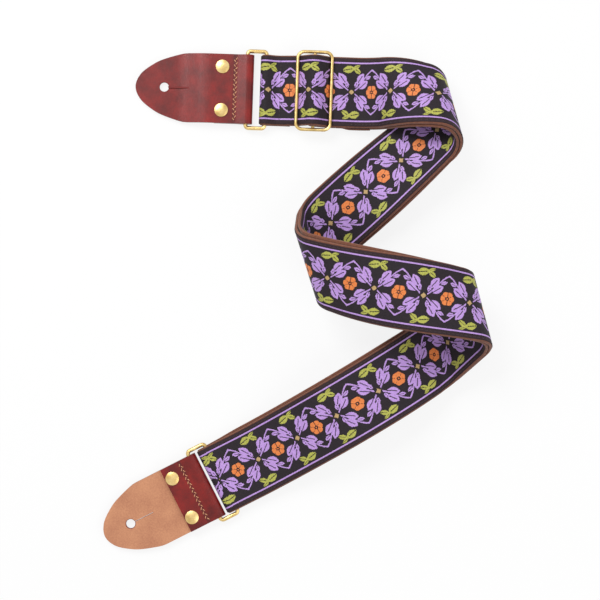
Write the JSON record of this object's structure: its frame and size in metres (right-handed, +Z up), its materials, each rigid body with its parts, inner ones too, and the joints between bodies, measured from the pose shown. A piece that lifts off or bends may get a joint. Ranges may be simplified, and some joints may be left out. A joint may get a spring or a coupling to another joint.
{
  "type": "guitar strap",
  "caption": "Two-inch woven jacquard guitar strap with brass slider and rings and riveted leather button-hole ends, lying in loose turns.",
  "frame": {"origin": "under the middle of the strap as it lies, on the surface that it rests on", "axes": "+Z up; +X along the first run, from leather end A towards the first turn; +Y towards end A, away from end B"},
  "size_m": [0.2698, 0.3518, 0.0589],
  "materials": {
    "webbing_backing": "brown woven webbing",
    "jacquard_ribbon": "dark jacquard ribbon with a lavender floral pattern",
    "leather": "oxblood full-grain leather, tan flesh side",
    "brass": "satin antique brass",
    "thread": "waxed tan thread"
  },
  "bodies": {
    "strap": {"ribbon_adjuster": "jacquard_ribbon", "ribbon_back_1": "jacquard_ribbon", "ribbon_back_2": "jacquard_ribbon", "ribbon_back_3": "jacquard_ribbon", "ribbon_front_1": "jacquard_ribbon", "ribbon_front_2": "jacquard_ribbon", "ribbon_front_3": "jacquard_ribbon", "ribbon_loop_a": "jacquard_ribbon", "ribbon_loop_b": "jacquard_ribbon", "webbing_adjuster": "webbing_backing", "webbing_back_1": "webbing_backing", "webbing_back_2": "webbing_backing", "webbing_back_3": "webbing_backing", "webbing_front_1": "webbing_backing", "webbing_front_2": "webbing_backing", "webbing_front_3": "webbing_backing", "webbing_loop_a": "webbing_backing", "webbing_loop_b": "webbing_backing"},
    "slider": {"slider_frame": "brass", "slider_bar": "brass", "ribbon_sewn_end": "jacquard_ribbon", "ribbon_slider_loop": "jacquard_ribbon", "webbing_sewn_end": "webbing_backing", "webbing_slider_loop": "webbing_backing"},
    "ring_a": {"ring_a": "brass"},
    "ring_b": {"ring_b": "brass"},
    "end_a": {"leather_a": "leather", "thread_a": "thread", "rivet_a_1_back": "brass", "rivet_a_1_front": "brass", "rivet_a_2_back": "brass", "rivet_a_2_front": "brass"},
    "end_b": {"leather_b": "leather", "thread_b": "thread", "rivet_b_1_back": "brass", "rivet_b_1_front": "brass", "rivet_b_2_back": "brass", "rivet_b_2_front": "brass"}
  },
  "joints": [
    {"name": "slider_slide", "type": "slide", "parent": "strap", "child": "slider", "axis": [0.9994, -0.0349, 0], "range_m": [0, 0.015], "deforming": ["webbing_adjuster", "ribbon_adjuster", "webbing_slider_loop", "ribbon_slider_loop", "webbing_sewn_end", "ribbon_sewn_end"]},
    {"name": "ring_a_swing", "type": "hinge", "parent": "strap", "child": "ring_a", "pos_m": [-0.02071, 0.1471, 0.00475], "axis": [0.0349, 0.9994, 0], "range_deg": [-30, 100]},
    {"name": "end_a_swing", "type": "hinge", "parent": "ring_a", "child": "end_a", "pos_m": [-0.0341, 0.14757, 0.00475], "axis": [0.0349, 0.9994, 0], "range_deg": [-60, 60]},
    {"name": "ring_b_swing", "type": "hinge", "parent": "strap", "child": "ring_b", "pos_m": [-0.05196, -0.12547, 0.00424], "axis": [0.4527, -0.8917, 0.0002], "range_deg": [-100, 30]},
    {"name": "end_b_swing", "type": "hinge", "parent": "ring_b", "child": "end_b", "pos_m": [-0.06391, -0.13154, 0.00421], "axis": [0.4527, -0.8917, 0.0002], "range_deg": [-60, 60]}
  ]
}
